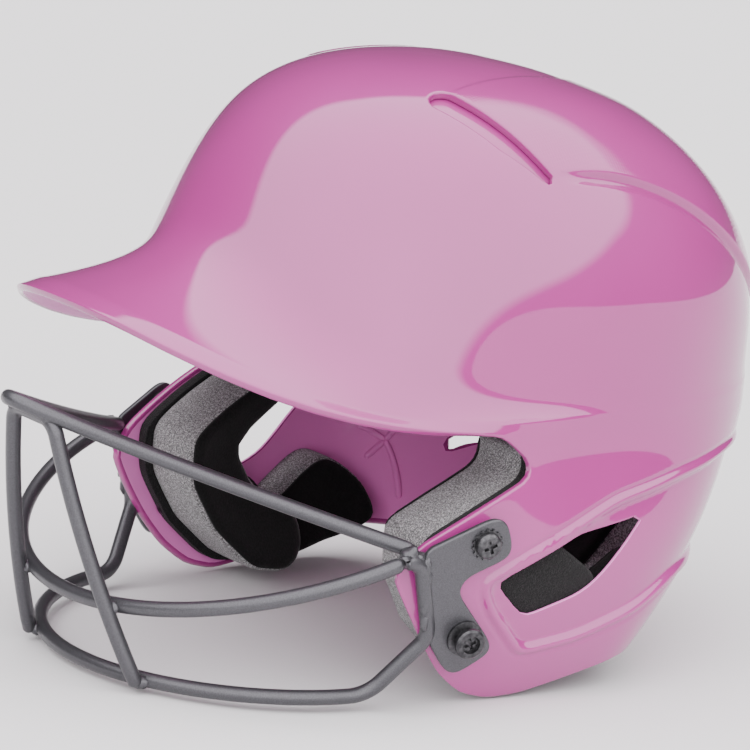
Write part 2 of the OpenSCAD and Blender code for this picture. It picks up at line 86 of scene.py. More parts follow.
def add(tree, kind, inputs=(), stops=(), **settings):
    """Adds a node. inputs maps a socket's name or number to a value or to an output socket, and stops are
    the (position, hex colour) pairs of a colour ramp."""
    node = tree.nodes.new(kind)
    for key, value in settings.items():
        setattr(node, key, value)
    for key, value in dict(inputs).items():
        if isinstance(value, bpy.types.NodeSocket):
            tree.links.new(value, node.inputs[key])
        else:
            node.inputs[key].default_value = value
    while stops and len(node.color_ramp.elements) < len(stops):
        node.color_ramp.elements.new(0.5)
    for end, (position, code) in zip(node.color_ramp.elements if stops else (), stops):
        end.position = position
        end.color = colour(code)
    return node


def finish(name, values):
    """A named material with its main shader's values set."""
    made = bpy.data.materials.new(name)
    made.use_nodes = True
    for key, value in values.items():
        made.node_tree.nodes["Principled BSDF"].inputs[key].default_value = value
    return made


def pattern(made, kind, size, **inputs):
    """A texture in the piece's own space, sized in mm."""
    place = add(made.node_tree, "ShaderNodeTexCoord").outputs["Object"]
    return add(made.node_tree, kind, {"Vector": place, "Scale": 1000 / size, **inputs})


def dent(made, height, strength, distance, socket="Normal"):
    """Bumps a material by up to distance in metres, on top of the bump that it has. socket is another
    input of its shader that takes the same bump."""
    tree, shader = made.node_tree, made.node_tree.nodes["Principled BSDF"]
    bump = add(tree, "ShaderNodeBump", {"Height": height, "Strength": strength, "Distance": distance})
    for link in shader.inputs["Normal"].links:
        tree.links.new(link.from_socket, bump.inputs["Normal"])
    for name in {"Normal", socket}:
        tree.links.new(bump.outputs["Normal"], shader.inputs[name])


def speckled(name, values, size, stops, bump=None, **inputs):
    """A material whose colour runs through stops with a noise sized in mm. bump is the strength and the
    distance in metres to which the same noise dents it."""
    made = finish(name, values)
    tree = made.node_tree
    speck = pattern(made, "ShaderNodeTexNoise", size, **inputs).outputs["Fac"]
    tint = add(tree, "ShaderNodeValToRGB", {"Fac": speck}, stops)
    tree.links.new(tint.outputs["Color"], tree.nodes["Principled BSDF"].inputs["Base Color"])
    if bump:
        dent(made, speck, *bump)
    return made


# Sizes of the patterns in mm: patches of the melt's flow, orange peel, grain of the powder coat, blotches
# of the zinc, tufts of the nap, mottle of the rubber, and the dots' spacing
FLOW, PEEL, GRAIN, BLOTCH, TUFT, MOTTLE, DOT_PITCH = 62.5, 9.0909, 0.45455, 1.4286, 0.8, 1.25, 1.1001
# Dents of cut foam for each speckle that shows
CELLS_A_SPECK = 1.4


def moulded_abs(name, low, high, gloss, dotted=False):
    """Orchid ABS, injection moulded. Outside it is clear coated, which is the gloss: a deep mirror over
    an even colour, with only a faint waviness of the moulding. Inside it is bare, and satin. On the rear
    panel it is dotted, which breaks the mirror up a little."""
    made = speckled(name, {"Roughness": 0.4, "Specular IOR Level": 0.12, "Coat Weight": gloss,
                           "Coat Roughness": 0.04, "Coat IOR": 1.65},
                    FLOW, [(0.35, low), (0.65, high)], Detail=2, Roughness=0.4)
    # Orange peel, a few microns high
    peel = pattern(made, "ShaderNodeTexNoise", PEEL, Detail=1)
    dent(made, peel.outputs["Fac"], 0.05, 0.0004)
    if dotted:
        # Rows of dots, even in plan. The real ones are finer, and these are as coarse as shows
        dots = pattern(made, "ShaderNodeTexVoronoi", DOT_PITCH, Randomness=0)
        dots.voronoi_dimensions = "2D"
        dent(made, dots.outputs["Distance"], 0.45, 0.0001, "Coat Normal")
    return made


def powder_coat():
    """Gunmetal powder coat on steel wire: satin, with a fine grain that glints a little. The grain is a
    little coarser than the real one, so that it shows."""
    return speckled("gunmetal_powder_coat",
                    {"Metallic": 0.6, "Roughness": 0.36, "Coat Weight": 0.2, "Coat Roughness": 0.3},
                    GRAIN, [(0.3, "#3E3E41"), (0.7, "#525256")], (0.16, 0.0002), Detail=2, Roughness=0.7)


def zinc(name, shade, worn):
    """Zinc plated steel, turned and pressed: dull metal, mottled at random with lighter worn patches."""
    return speckled(name, {"Metallic": 0.9, "Roughness": 0.38}, BLOTCH, [(0.35, shade), (0.75, worn)],
                    (0.3, 0.0002), Detail=4)


def foam(name, low, middle, high, cell, sheen):
    """Die-cut foam: matt, with open cells that speckle the cut. cell is the speckle in mm, drawn coarser
    than the real one so that it shows."""
    made = speckled(name, {"Roughness": 0.95, "Specular IOR Level": 0.2, "Sheen Weight": sheen,
                           "Sheen Roughness": 0.6},
                    cell, [(0.37, low), (0.5, middle), (0.63, high)], Detail=3, Roughness=0.75)
    cells = pattern(made, "ShaderNodeTexVoronoi", cell / CELLS_A_SPECK)
    dent(made, cells.outputs["Distance"], 0.6, 0.0004)
    return made


def brushed_knit():
    """Black brushed knit bonded to foam: flat and matt, with a short nap that barely catches light."""
    return speckled("black_brushed_knit", {"Roughness": 0.95, "Specular IOR Level": 0.15,
                                           "Sheen Weight": 0.1, "Sheen Roughness": 0.5},
                    TUFT, [(0.35, "#080808"), (0.7, "#141414")], (0.4, 0.0003), Detail=3)


def rubber():
    """Moulded black rubber: matt, faintly mottled."""
    return speckled("black_rubber", {"Roughness": 0.7}, MOTTLE, [(0.3, "#101010"), (0.7, "#1E1E1E")])


ABS = moulded_abs("orchid_abs_clear_gloss", "#962E76", "#9A327A", 1)
DOTTED_ABS = moulded_abs("orchid_abs_dotted_panel", "#962E76", "#9A327A", 1, dotted=True)
# The inside is painted much lighter than the outside: painted light, for light that the inside of the shell
# doesn't get. Its low gloss is that of bare ABS.
BARE_ABS_PAINTED_LIGHTER = moulded_abs("orchid_abs_bare_inside", "#DA7ABE", "#DE80C2", 0.2)
COAT = powder_coat()
ZINC = zinc("dark_zinc_plate", "#3C3C3E", "#626264")
STUD = zinc("dark_coated_stud", "#343436", "#565658")
GREY_FOAM = foam("grey_speckled_foam", "#3A3A3A", "#6A6A6A", "#ACACAC", 0.6, 0.2)
# On the jaw pads this is their charcoal backing; on the left side pad it is painted shade.
DARK_FOAM_AND_PAINTED_SHADE = foam("charcoal_backing_foam", "#050505", "#0B0B0B", "#1E1E1E", 0.7, 0.06)
KNIT = brushed_knit()
RUBBER = rubber()

# ---------------- the shell's surface, as in the CAD source
CROWN_Z, DOME_Z, CROWN_LEAN = 216, 119, 23
DOME_W, DOME_FRONT, DOME_REAR = 98.5, 110, 107.5
BRIM_W, BRIM_REACH, RIM_Z, BRIM_RISE, BAND_W, FOREHEAD = 98.6, 176.5, 99.3, 13.9, 7.5, 18
EAR_W, EAR_Z, FOOT_W = 105.5, 54, 90.5
WALL = 3
FULL_FRONT, FULL_REAR, FULL_SIDE = 2.35, 2.19, 2.53
SQUARE_DOME, SQUARE_BRIM, SQUARE_REAR = 2.06, 2.45, 2.2
RISE_FROM, FOREHEAD_H, BRIM_H = 32, 85, 34
BOWL_Z, BOWL_IN, BOWL_CURVE = 96, 76, 1.4
DOME_SHARE = 0.62
REAR_REACH = DOME_REAR + 0.6
# The rim rises by BRIM_RISE over RISE_SPAN, slowly at first
RISE_SPAN, RISE_POWER = 100, 2.6
# The brim proper begins BRIM_START past the dome's outline and is full BRIM_FULL further out
BRIM_START, BRIM_FULL = 1, 30
# Height of the band between crease and edge, on the brim and on the sides
BRIM_BAND, SIDE_BAND = 2.5, 5
# The same for the cone that fills the forehead
CONE_START, CONE_FULL = 2, 22
# Height of the blend from dome to crease on the sides, and how far out it is the brim's full BRIM_H
SIDE_H, BLEND_FULL = 10, 25
# Powers of the blend's fall and of its reach
FALL_POWER, REACH_POWER = 0.3, 1.5
# Above this height the wall's front squares up toward the brim's outline
SQUARE_FROM = 60


def ease(t):
    t = np.clip(t, 0, 1)
    return t * t * (3 - 2 * t)


def outline_r(s, c, half, reach, power):
    return ((np.abs(s) / half) ** power + (np.abs(c) / reach) ** power) ** (-1 / power)


def ahead(a):
    return np.stack([np.sin(a), -np.cos(a), 0 * a], -1)


def dome_r(a):
    s, c = np.sin(a), np.cos(a)
    return np.where(c > 0, outline_r(s, c, DOME_W, DOME_FRONT, SQUARE_DOME),
                    outline_r(s, c, DOME_W, DOME_REAR, SQUARE_REAR))


def edge_r(a):
    s, c = np.sin(a), np.cos(a)
    return np.where(c > 0, outline_r(s, c, BRIM_W, BRIM_REACH, SQUARE_BRIM),
                    outline_r(s, c, BRIM_W, REAR_REACH, SQUARE_REAR))


def rim_line(forward):
    return RIM_Z + BRIM_RISE * (np.clip(forward - RISE_FROM, 0, None) / RISE_SPAN) ** RISE_POWER


def edge_z(a):
    return rim_line(edge_r(a) * np.cos(a))


def lifted(flat, z):
    flat = flat.copy()
    flat[..., 2] += z
    return flat


def edge_pt(a):
    return lifted(edge_r(a)[..., None] * ahead(a), edge_z(a))


def crease_pt(a):
    g = ease((edge_r(a) - dome_r(a) - BRIM_START) / BRIM_FULL)
    band = BRIM_BAND * g + SIDE_BAND * (1 - g)
    return lifted((edge_r(a) - BAND_W * g)[..., None] * ahead(a), edge_z(a) + band)


def dome_pt(a, f):
    side = np.sin(a) ** 2
    q = np.where(np.cos(a) > 0, FULL_FRONT, FULL_REAR) * (1 - side) + FULL_SIDE * side
    k = np.clip(np.cos(f), 0, 1)
    r = dome_r(a) * (1 - k ** q) ** (1 / q)
    at = lifted(r[..., None] * ahead(a), DOME_Z + (CROWN_Z - DOME_Z) * np.cos(f))
    at[..., 1] -= CROWN_LEAN * k * k
    return at


def profile_angle(z):
    return np.arccos(np.clip((z - DOME_Z) / (CROWN_Z - DOME_Z), -1, 1))


def upper_pt(a, v):
    """The surface above the crease, from v = 0 at the crown to 1 at the crease: the dome, and under it a
    blend that falls first and then reaches out to the crease, filled by a cone over the forehead."""
    e = crease_pt(a)
    ez = e[..., 2]
    base = dome_pt(a, profile_angle(ez))
    d = ((e - base) * ahead(a)).sum(-1)
    cone = FOREHEAD * ease((d - CONE_START) / CONE_FULL)
    rest = e - base - cone[..., None] * ahead(a)
    h = SIDE_H + (BRIM_H - SIDE_H) * ease(d / BLEND_FULL)
    rho = np.clip((v - DOME_SHARE) / (1 - DOME_SHARE), 0, 1)
    on_dome = v <= DOME_SHARE
    top = dome_pt(a, profile_angle(ez + h) * np.clip(v / DOME_SHARE, 0, 1))
    z = np.where(on_dome, top[..., 2], ez + h * (1 - rho ** FALL_POWER))
    p = np.where(on_dome[..., None], top, dome_pt(a, profile_angle(z)))
    # The crown is one point, so the forehead's fullness stops short of it
    w = np.where(v > 0, np.clip(1 - (z - ez) / FOREHEAD_H, 0, 1) ** 2, 0)
    return p + (cone * w)[..., None] * ahead(a) + rest * (rho ** REACH_POWER)[..., None]


def wall_w(z):
    return np.where(z < EAR_Z, EAR_W - (EAR_W - FOOT_W) * np.clip(1 - z / EAR_Z, 0, None) ** 2,
                    EAR_W - (EAR_W - BRIM_W) * ease((z - EAR_Z) / (RIM_Z - EAR_Z)))


def wall_rear(z):
    return REAR_REACH - BOWL_IN * np.clip(1 - z / BOWL_Z, 0, 1) ** BOWL_CURVE


def wall_front_power(z):
    return 2 + (SQUARE_BRIM - 2) * ease((z - SQUARE_FROM) / (RIM_Z - SQUARE_FROM))


def wall_pt(a, z):
    s, c = np.sin(a), np.cos(a)
    r = np.where(c > 0, outline_r(s, c, wall_w(z), BRIM_REACH, wall_front_power(z)),
                 outline_r(s, c, wall_w(z), wall_rear(z), SQUARE_REAR))
    return lifted(r[..., None] * ahead(a), z)


def surface(a, t):
    """The outer surface: t is 0 at the crown, 1 at the crease, 2 at the edge and 3 at the table."""
    s = (t - 1)[..., None]
    upper = upper_pt(a, np.clip(t, 0, 1))
    band = crease_pt(a) * (1 - s) + edge_pt(a) * s
    wall = wall_pt(a, edge_z(a) * np.clip(3 - t, 0, 1))
    return np.where(s < 0, upper, np.where(s < 1, band, wall))


def surface_normal(a, t):
    """The outward normal, from the surface a little up, down and round."""
    down = surface(a, np.minimum(t + 0.02, 3)) - surface(a, np.maximum(t - 0.02, 0.001))
    step = math.radians(1)
    n = np.cross(down, surface(a + step, t) - surface(a - step, t))
    n /= np.linalg.norm(n, axis=-1, keepdims=True) + 1e-12
    n[t < 0.001] = (0, 0, 1)
    return n


# ---------------- outlines
# Side outlines are (y, z), with forward negative, and plan outlines are (x, y). FAR_OFF stands for a
# distance that nothing reaches
FAR_OFF = 50


def rounded(outline, radii, count=5):
    """Cuts each corner of a closed outline back by its radius and rounds it."""
    points = np.array(outline, float)
    out = []
    for i, (corner, r) in enumerate(zip(points, np.broadcast_to(radii, len(points)))):
        before, after = points[i - 1] - corner, points[(i + 1) % len(points)] - corner
        a = corner + before * min(r / np.linalg.norm(before), 0.45)
        b = corner + after * min(r / np.linalg.norm(after), 0.45)
        for u in np.linspace(0, 1, count):
            out.append(a * (1 - u) ** 2 + corner * 2 * u * (1 - u) + b * u * u)
    return np.array(out)


def inside(points, outline):
    """Distance in mm from each point to a closed outline, positive inside it."""
    best = np.full(len(points), 1e9)
    within = np.zeros(len(points), bool)
    for start, end in zip(outline, np.roll(outline, -1, 0)):
        d, w = end - start, points - start
        u = np.clip(w @ d / (d @ d + 1e-12), 0, 1)
        best = np.minimum(best, np.hypot(*(w - u[:, None] * d).T))
        crosses = (start[1] <= points[:, 1]) != (end[1] <= points[:, 1])
        meets = start[0] + (points[:, 1] - start[1]) * d[0] / (d[1] if d[1] else 1e-12)
        within ^= crosses & (points[:, 0] < meets)
    return np.where(within, best, -best)


def from_line(points, line):
    """Distance in mm from each point to an open line."""
    best = np.full(len(points), 1e9)
    for start, end in zip(line[:-1], line[1:]):
        d, w = end - start, points - start
        u = np.clip(w @ d / (d @ d), 0, 1)
        best = np.minimum(best, np.linalg.norm(w - u[:, None] * d, axis=1))
    return best


def inside_slot(points, ends, radii, axis):
    """Distance to a slot driven along axis through ends, each with its own radius, positive inside."""
    axis = np.array(axis) / np.linalg.norm(axis)
    best = np.full(len(points), -1e9)
    for i in range(len(ends) - 1):
        start, end = np.array(ends[i], float), np.array(ends[i + 1], float)
        d, w = end - start, points - start
        d, w = d - axis * (d @ axis), w - np.outer(w @ axis, axis)
        u = np.clip(w @ d / (d @ d), 0, 1)
        r = radii[i] + (radii[i + 1] - radii[i]) * u
        best = np.maximum(best, r - np.linalg.norm(w - u[:, None] * d, axis=1))
    return best


brim_line = [(-f, float(rim_line(np.array(float(f))))) for f in range(190, 63, -14)]
CUT_AWAY = rounded(brim_line + [
    (-52, 98.5), (-41, 90), (-40.5, 84), (-59, 74.5), (-74, 66), (-83, 60.5), (-90.5, 50), (-84, 38),
    (-75.5, 24), (-66.5, 12.4), (-55.5, 3.8), (-43, 0.3), (-30, 1.2), (-7, 7.5), (8, 11.5), (20, 12.5),
    (35, 14), (50, 18), (75, 26), (140, 26), (140, -40), (-200, -40), (-200, brim_line[0][1])], 4)
EAR_WINDOW = rounded([(-50.9, 46.4), (-38.5, 33.5), (-16, 41), (-8.5, 47), (8.6, 66.2), (-18.8, 61.8),
                      (-36, 55.5)], [4, 4, 6, 6, 1.2, 6, 6])
EAR_PANEL = rounded([(-59, 48), (-45, 55.5), (-15, 69.5), (-3, 74.5), (29, 80.5), (60, 84), (130, 84),
                     (130, 43), (60, 43), (30, 40), (10, 30.5), (-14, 22), (-38, 18), (-55, 37)], 6)
PANEL_PLAN = rounded([(-47, -46), (-81, -26), (-120, -20), (-120, 130), (120, 130), (120, -20), (81, -26),
                      (47, -46), (43, -50), (31, 8), (22, 26), (8, 33.5), (-8, 33.5), (-22, 26), (-31, 8),
                      (-43, -50)], 6)
VENT_ENDS = [(44, -49.5, 206), (66, -38.5, 195), (79.5, -28.5, 185)]
VENT_RADII = [5.2, 4.4, 2]
VENT_AXIS = (0.6545, -0.139, 0.743)
REAR_VENT = [(61, 40, 45), (50, 40, 51), (40, 40, 58)]
REAR_RADII = [1.5, 3.4, 4.6]
REAR_AXIS = (0.5, 0.866, 0)


def folded(points):
    """The points with their right half turned over to the left."""
    return points * np.where(points[:, :1] < 0, [-1, 1, 1], [1, 1, 1])


def shell_cut(points, lip=0.0):
    """Where the shell is cut away: the distance in mm, positive where there is no material."""
    half = folded(points)
    side = points[:, 1:]
    holes = [inside(side, CUT_AWAY), inside(side, EAR_WINDOW),
             inside_slot(half, VENT_ENDS, VENT_RADII, VENT_AXIS)]
    rear = inside_slot(half, REAR_VENT, REAR_RADII, REAR_AXIS)
    holes.append(np.where(points[:, 1] > 0, rear, -FAR_OFF))
    return np.maximum.reduce(holes) + lip


# The raised rear panel's lower line is a parabola
PANEL_TOP, PANEL_BOW, PANEL_BOW_Y = 187, 0.0044, -21
# The panel rises by EDGE_RISE at its outline and by INNER_RISE more over the next RISE_OVER
EDGE_RISE, INNER_RISE, RISE_OVER, EDGE_SOFT = 0.5, 1.1, 25, 0.8
# The groove under the panel: its depth, its middle below the line, its half width, the range over which
# its sides fall, and where it begins to fade in
GROOVE_D, GROOVE_DROP, GROOVE_HALF = 1.1, 2, 1.6
GROOVE_SIDES = (-0.3, 0.9)
GROOVE_FROM, GROOVE_FADE = -24, 16
# The ear panel, across its outline from outside to inside: a shallow lip, a bead and a step down
LIP_D, LIP_AT, LIP_HALF = 0.45, -1.2, 1.1
BEAD_H, BEAD_AT, BEAD_HALF = 0.9, 1.3, 1.9
PANEL_SINK, STEP_FROM, STEP_W = 1.6, 2.6, 1.8
EAR_PANEL_TOP = 92


def panel_line(y):
    return PANEL_TOP - PANEL_BOW * (y - PANEL_BOW_Y) ** 2


def line_slope(points):
    return np.hypot(1, 2 * PANEL_BOW * (points[:, 1] - PANEL_BOW_Y))


def panel_edge(points):
    """Distances above the raised rear panel's lower line and inside its outline in plan."""
    above = (points[:, 2] - panel_line(points[:, 1])) / line_slope(points)
    return above, inside(points[:, :2], PANEL_PLAN)


def groove_edge(points):
    """Distance inside the groove under the panel."""
    middle = panel_line(points[:, 1]) - GROOVE_DROP
    return GROOVE_HALF - np.abs(points[:, 2] - middle) / line_slope(points)


def soft_step(distance):
    return ease((distance + EDGE_SOFT) / (2 * EDGE_SOFT))


def relief(points):
    """How far the outer surface is sunk, in mm."""
    within = inside(points[:, 1:], EAR_PANEL)
    ear = (PANEL_SINK * ease((within - STEP_FROM) / STEP_W)
           - BEAD_H * ease(1 - np.abs(within - BEAD_AT) / BEAD_HALF)
           + LIP_D * ease(1 - np.abs(within - LIP_AT) / LIP_HALF))
    ear = np.where(points[:, 2] < EAR_PANEL_TOP, ear, 0)
    above, behind = panel_edge(points)
    raised = EDGE_RISE * soft_step(behind) + INNER_RISE * ease(behind / RISE_OVER)
    # The groove runs out toward the crown vent
    low, high = GROOVE_SIDES
    groove = (GROOVE_D * ease((groove_edge(points) - low) / (high - low))
              * ease((points[:, 1] - GROOVE_FROM) / GROOVE_FADE))
    return ear - raised * soft_step(above) + groove


def outside_range(distance, low, high):
    return np.abs(distance - (low + high) / 2) - (high - low) / 2


def near_feature(points):
    """Distance in mm to the nearest slope of the relief."""
    groove = outside_range(groove_edge(points), *GROOVE_SIDES)
    groove = np.where(points[:, 1] > GROOVE_FROM - 2, groove, FAR_OFF)
    panel = outside_range(np.minimum(*panel_edge(points)), -EDGE_SOFT, EDGE_SOFT)
    ear = outside_range(inside(points[:, 1:], EAR_PANEL), LIP_AT - LIP_HALF, STEP_FROM + STEP_W)
    return np.minimum.reduce([ear, panel, groove])


# ---------------- pieces cut from a sheet
# In mm, how near doubles lie that are merged, and how short an edge isn't divided again
MERGE, SHORT_EDGE = 0.02, 1.2
HALVINGS = 18


def snapped(pq, pairs, cut):
    """Moves grid points next to the line cut = 0 onto it, along the grid's own edges."""
    f = cut(pq)
    a, b = pairs.T
    crossing = f[a] * f[b] < 0
    a, b = a[crossing], b[crossing]
    share = f[a] / (f[a] - f[b])
    who, other = np.where(share < 0.5, a, b), np.where(share < 0.5, b, a)
    near = np.minimum(share, 1 - share)
    order = np.argsort(-near)
    who, other = who[order], other[order]
    low, high = pq[who], pq[other]
    sign = np.sign(f[who])
    start = np.array(low)
    for _ in range(HALVINGS):
        middle = (start + high) / 2
        same = (np.sign(cut(middle)) == sign)[:, None]
        start, high = np.where(same, middle, start), np.where(same, high, middle)
    pq, f = pq.copy(), f.copy()
    pq[who] = start
    f[who] = 0
    return pq, f


def sheet_piece(name, cells, span, place, cut, rim, start=0.0, end=None, refine=None, bare_and_painted_lighter=False):
    """A piece cut from a curved sheet. A grid over span is snapped to the line cut = 0 and trimmed, its
    outer face lies at the depth start and its inner face at end, and rim rounds its sides: a list of
    (share of the thickness, outward share) that ends on the inner face. refine tells which places of the
    outer face get finer faces, and bare_and_painted_lighter puts the inner face in the second material
    slot, which on the shell is the bare inside, painted lighter."""
    bm = bmesh.new()
    bmesh.ops.create_grid(bm, x_segments=cells[0], y_segments=cells[1], size=1)
    low, high = np.array(span, float).T
    pq = low + (np.array([v.co[:2] for v in bm.verts]) + 1) / 2 * (high - low)
    bm.verts.index_update()
    pairs = np.array([[v.index for v in e.verts] for e in bm.edges])
    pq, f = snapped(pq, pairs, cut)
    for key, share in (("p", 0), ("q", 1)):
        layer = bm.verts.layers.float.new(key)
        for v in bm.verts:
            v[layer] = pq[v.index, share]
    for face in list(bm.faces):
        values = [f[v.index] for v in face.verts]
        if max(values) > 0 > min(values):
            on = [v for v, value in zip(face.verts, values) if value == 0]
            if len(on) == 2:
                bmesh.utils.face_split(face, on[0], on[1])
    doomed = [face for face in bm.faces if max(f[v.index] for v in face.verts) > 0]
    bmesh.ops.delete(bm, geom=doomed, context="FACES")

    def params(mesh, verts):
        p, q = mesh.verts.layers.float["p"], mesh.verts.layers.float["q"]
        return np.array([[v[p], v[q]] for v in verts])

    def depth_at(points, which):
        return np.broadcast_to(which(points) if callable(which) else which, (len(points),))

    def settle(mesh, which):
        points = params(mesh, mesh.verts)
        for v, co in zip(mesh.verts, place(points, depth_at(points, which)) * MM):
            v.co = co

    settle(bm, 0.0)
    bmesh.ops.remove_doubles(bm, verts=bm.verts, dist=MERGE * MM)
    inner = bm.copy()
    if refine:
        close = refine(np.array([face.calc_center_median() for face in bm.faces]) / MM)
        chosen = [face for face, yes in zip(bm.faces, close)
                  if yes and not any(e.is_boundary for v in face.verts for e in v.link_edges)]
        edges = list({e for face in chosen for e in face.edges if e.calc_length() > SHORT_EDGE * MM})
        bmesh.ops.subdivide_edges(bm, edges=edges, cuts=3, use_grid_fill=True)
    settle(bm, start)

    edges = [e for e in bm.edges if e.is_boundary]
    base = list({v for e in edges for v in e.verts})
    pq0 = params(bm, base)
    top, bottom = depth_at(pq0, start), depth_at(pq0, end)
    normals = place(pq0, top) - place(pq0, top + 0.5)
    normals = {v: Vector(n).normalized() for v, n in zip(base, normals)}
    away = {v: Vector() for v in base}
    beside = {v: [] for v in base}
    for e in edges:
        a, b = e.verts
        outwards = (a.co + b.co) / 2 - e.link_faces[0].calc_center_median()
        for v in e.verts:
            side = (b.co - a.co).cross(normals[v]).normalized()
            away[v] += side if side.dot(outwards) > 0 else -side
            beside[v].append(e.other_vert(v))
    # Three passes even out which way the rim goes
    for _ in range(3):
        away = {v: (away[v].normalized() * 2 + sum((away[w].normalized() for w in beside[v]), Vector()))
                .normalized() for v in base}
    root = {v: i for i, v in enumerate(base)}
    for share, out in rim:
        made = bmesh.ops.extrude_edge_only(bm, edges=edges)["geom"]
        fresh = [g for g in made if isinstance(g, bmesh.types.BMVert)]
        fresh_set = set(fresh)
        new_root = {}
        for v in fresh:
            old = next(w for w in (e.other_vert(v) for e in v.link_edges) if w not in fresh_set)
            new_root[v] = root[old]
        ids = np.array([new_root[v] for v in fresh])
        depth = top[ids] + (bottom[ids] - top[ids]) * share
        at = place(pq0[ids], depth)
        for v, co, i in zip(fresh, at, ids):
            v.co = (Vector(co) + away[base[i]] * float(out * (bottom[i] - top[i]))) * MM
        root = new_root
        edges = [g for g in made if isinstance(g, bmesh.types.BMEdge) and set(g.verts) <= fresh_set]

    settle(inner, end)
    bmesh.ops.reverse_faces(inner, faces=inner.faces)
    for face in inner.faces:
        face.material_index = int(bare_and_painted_lighter)
    spare = bpy.data.meshes.new("spare")
    inner.to_mesh(spare)
    inner.free()
    bm.from_mesh(spare)
    bpy.data.meshes.remove(spare)
    seam = [v for v in bm.verts if any(e.is_boundary for e in v.link_edges)]
    bmesh.ops.remove_doubles(bm, verts=seam, dist=MERGE * MM)
    bmesh.ops.recalc_face_normals(bm, faces=bm.faces)
    return as_piece(name, bm)


def as_piece(name, bm):
    for face in bm.faces:
        face.smooth = True
    mesh = bpy.data.meshes.new(name)
    bm.to_mesh(mesh)
    bm.free()
    piece = bpy.data.objects.new(name, mesh)
    bpy.context.scene.collection.objects.link(piece)
    return piece


def dress(piece, material, slot, *stands_for):
    """Gives a piece its material, hangs it from the root body and hides the CAD nodes that it stands for.
    slot is not used.
    """
    piece.data.materials.append(material)
    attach(piece, "root")
    if stands_for:
        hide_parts(*stands_for)
    return piece


def moulded_rim(steps=12, power=0.5):
    """Rim that rounds the two corners of a moulded edge and leaves it flat between them."""
    angles = [math.pi * k / steps for k in range(1, steps)]
    return [((1 - math.copysign(abs(math.cos(b)) ** power, math.cos(b))) / 2, math.sin(b) ** power / 2)
            for b in angles] + [(1, 0)]


# ---------------- shell
COLUMNS, DOME_ROWS, BRIM_ROWS, BAND_ROWS, WALL_ROWS = 216, 52, 36, 3, 38
ROWS = DOME_ROWS + BRIM_ROWS + BAND_ROWS + WALL_ROWS
# How far the brim blend reaches out, for the spacing of its rows
BLEND_RUN = 66
# Finer faces within REFINED mm of the relief's slopes, and the window's cut side, which gets a painted
# highlight, by its distance from the outline and by how little it faces sideways
REFINED, WINDOW_SIDE, SIDEWAYS = 2, 1.7, 0.75
PAINTED_LIGHTER_FACES, DOTTED_FACES = 1, 2
# Rows of the brim blend spread evenly over its fall and its reach
fine = np.linspace(0, 1, 400)
walked = BRIM_H * fine ** FALL_POWER + BLEND_RUN * fine ** REACH_POWER
blend_rows = np.interp(np.linspace(0, walked[-1], BRIM_ROWS + 1), walked, fine)
row_t = np.concatenate([
    np.linspace(0, DOME_SHARE, DOME_ROWS + 1)[:-1],
    (DOME_SHARE + (1 - DOME_SHARE) * blend_rows)[:-1],
    np.linspace(1, 2, BAND_ROWS + 1)[:-1],
    np.linspace(2, 3, WALL_ROWS + 1)])


def shell_at(pq):
    return np.radians(pq[:, 0]), np.interp(pq[:, 1], np.arange(ROWS + 1), row_t)


def shell_place(pq, depth):
    a, t = shell_at(pq)
    return surface(a, t) - depth[:, None] * surface_normal(a, t)


def shell_depth(pq):
    return relief(surface(*shell_at(pq)))


shell = sheet_piece(
    "helmet_shell", (COLUMNS, ROWS), ((0, 360), (0, ROWS)), shell_place,
    lambda pq: shell_cut(surface(*shell_at(pq)), WALL / 2), moulded_rim(), start=shell_depth, end=WALL,
    refine=lambda points: near_feature(points) < REFINED, bare_and_painted_lighter=True)
dress(shell, ABS, "shell_abs", "shell")
shell.data.materials.append(BARE_ABS_PAINTED_LIGHTER)
shell.data.materials.append(DOTTED_ABS)
# The raised rear panel is the one stretch of the outside that is dotted, and the cut side of the ear
# windows takes the inside's lighter colour as a painted highlight
faces = [face for face in shell.data.polygons if face.material_index == 0]
centres = np.array([face.center for face in faces]) / MM
on_panel = np.minimum(*panel_edge(centres)) > EDGE_SOFT
painted_highlight_at_window = np.abs(inside(centres[:, 1:], EAR_WINDOW)) < WINDOW_SIDE
for face, dotted, beside in zip(faces, on_panel, painted_highlight_at_window):
    if dotted:
        face.material_index = DOTTED_FACES
    elif beside and abs(face.normal.x) < SIDEWAYS:
        face.material_index = PAINTED_LIGHTER_FACES

# The pink liner that closes each crown vent from below: degrees round, share of the way down to the
# crease, gap under the wall, thickness, and how far it reaches past the vent
LINER_ROUND, LINER_DOWN = (22, 100), (0.08, 0.5)
LINER_GAP, LINER_T, LINER_PAST = 0.02, 0.25, 3


def under_vent(sign):
    """Distance outside the patch of liner that shows through a crown vent."""
    def edge(pq):
        points = surface(np.radians(pq[:, 0]), pq[:, 1]) * [sign, 1, 1]
        return -inside_slot(points, VENT_ENDS, VENT_RADII, VENT_AXIS) - LINER_PAST
    return edge


def skin_place(pq, depth):
    """Places (degrees round, share of the way down) at a depth under the shell's outer surface."""
    a, t = np.radians(pq[:, 0]), pq[:, 1]
    return surface(a, t) - depth[:, None] * surface_normal(a, t)


for side, sign in (("left", 1), ("right", -1)):
    ends = sorted(sign * angle for angle in LINER_ROUND)
    dress(sheet_piece("vent_liner_" + side, (78, 60), (ends, LINER_DOWN), skin_place, under_vent(sign),
                      [(1, 0)], start=WALL + LINER_GAP, end=WALL + LINER_GAP + LINER_T), ABS, "shell_abs")


# ---------------- mask wires
WIRE_R = 2.75
# A wire's rounded end: (radii back from the tip, share of the full radius)
WIRE_END = ((0, 0.25), (0.35, 0.74236), (0.7, 0.94043))
# Degrees from the front at which the middle and the lower bar's curves end
MIDDLE_END, LOW_END = 84, 80
